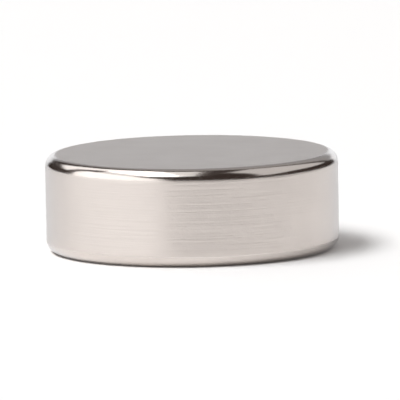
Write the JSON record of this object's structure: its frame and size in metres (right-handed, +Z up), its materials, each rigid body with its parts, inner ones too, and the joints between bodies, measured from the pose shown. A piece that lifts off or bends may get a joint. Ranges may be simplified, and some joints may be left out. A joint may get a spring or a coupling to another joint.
{
  "type": "disc magnet",
  "caption": "Small flat round magnet with plain faces, a straight wall and rounded rims, plated in bright satin nickel.",
  "frame": {"origin": "centre of the bottom face, on the surface that the disc lies on", "axes": "+Z up along the disc's axis, which is also its usual direction of magnetisation; X and Y are free, because the disc is round"},
  "size_m": [0.003, 0.003, 0.001],
  "materials": {
    "nickel_plating": "bright satin nickel plate over ground and tumbled sintered metal"
  },
  "bodies": {
    "root": {"disc_magnet": "nickel_plating"}
  },
  "joints": []
}
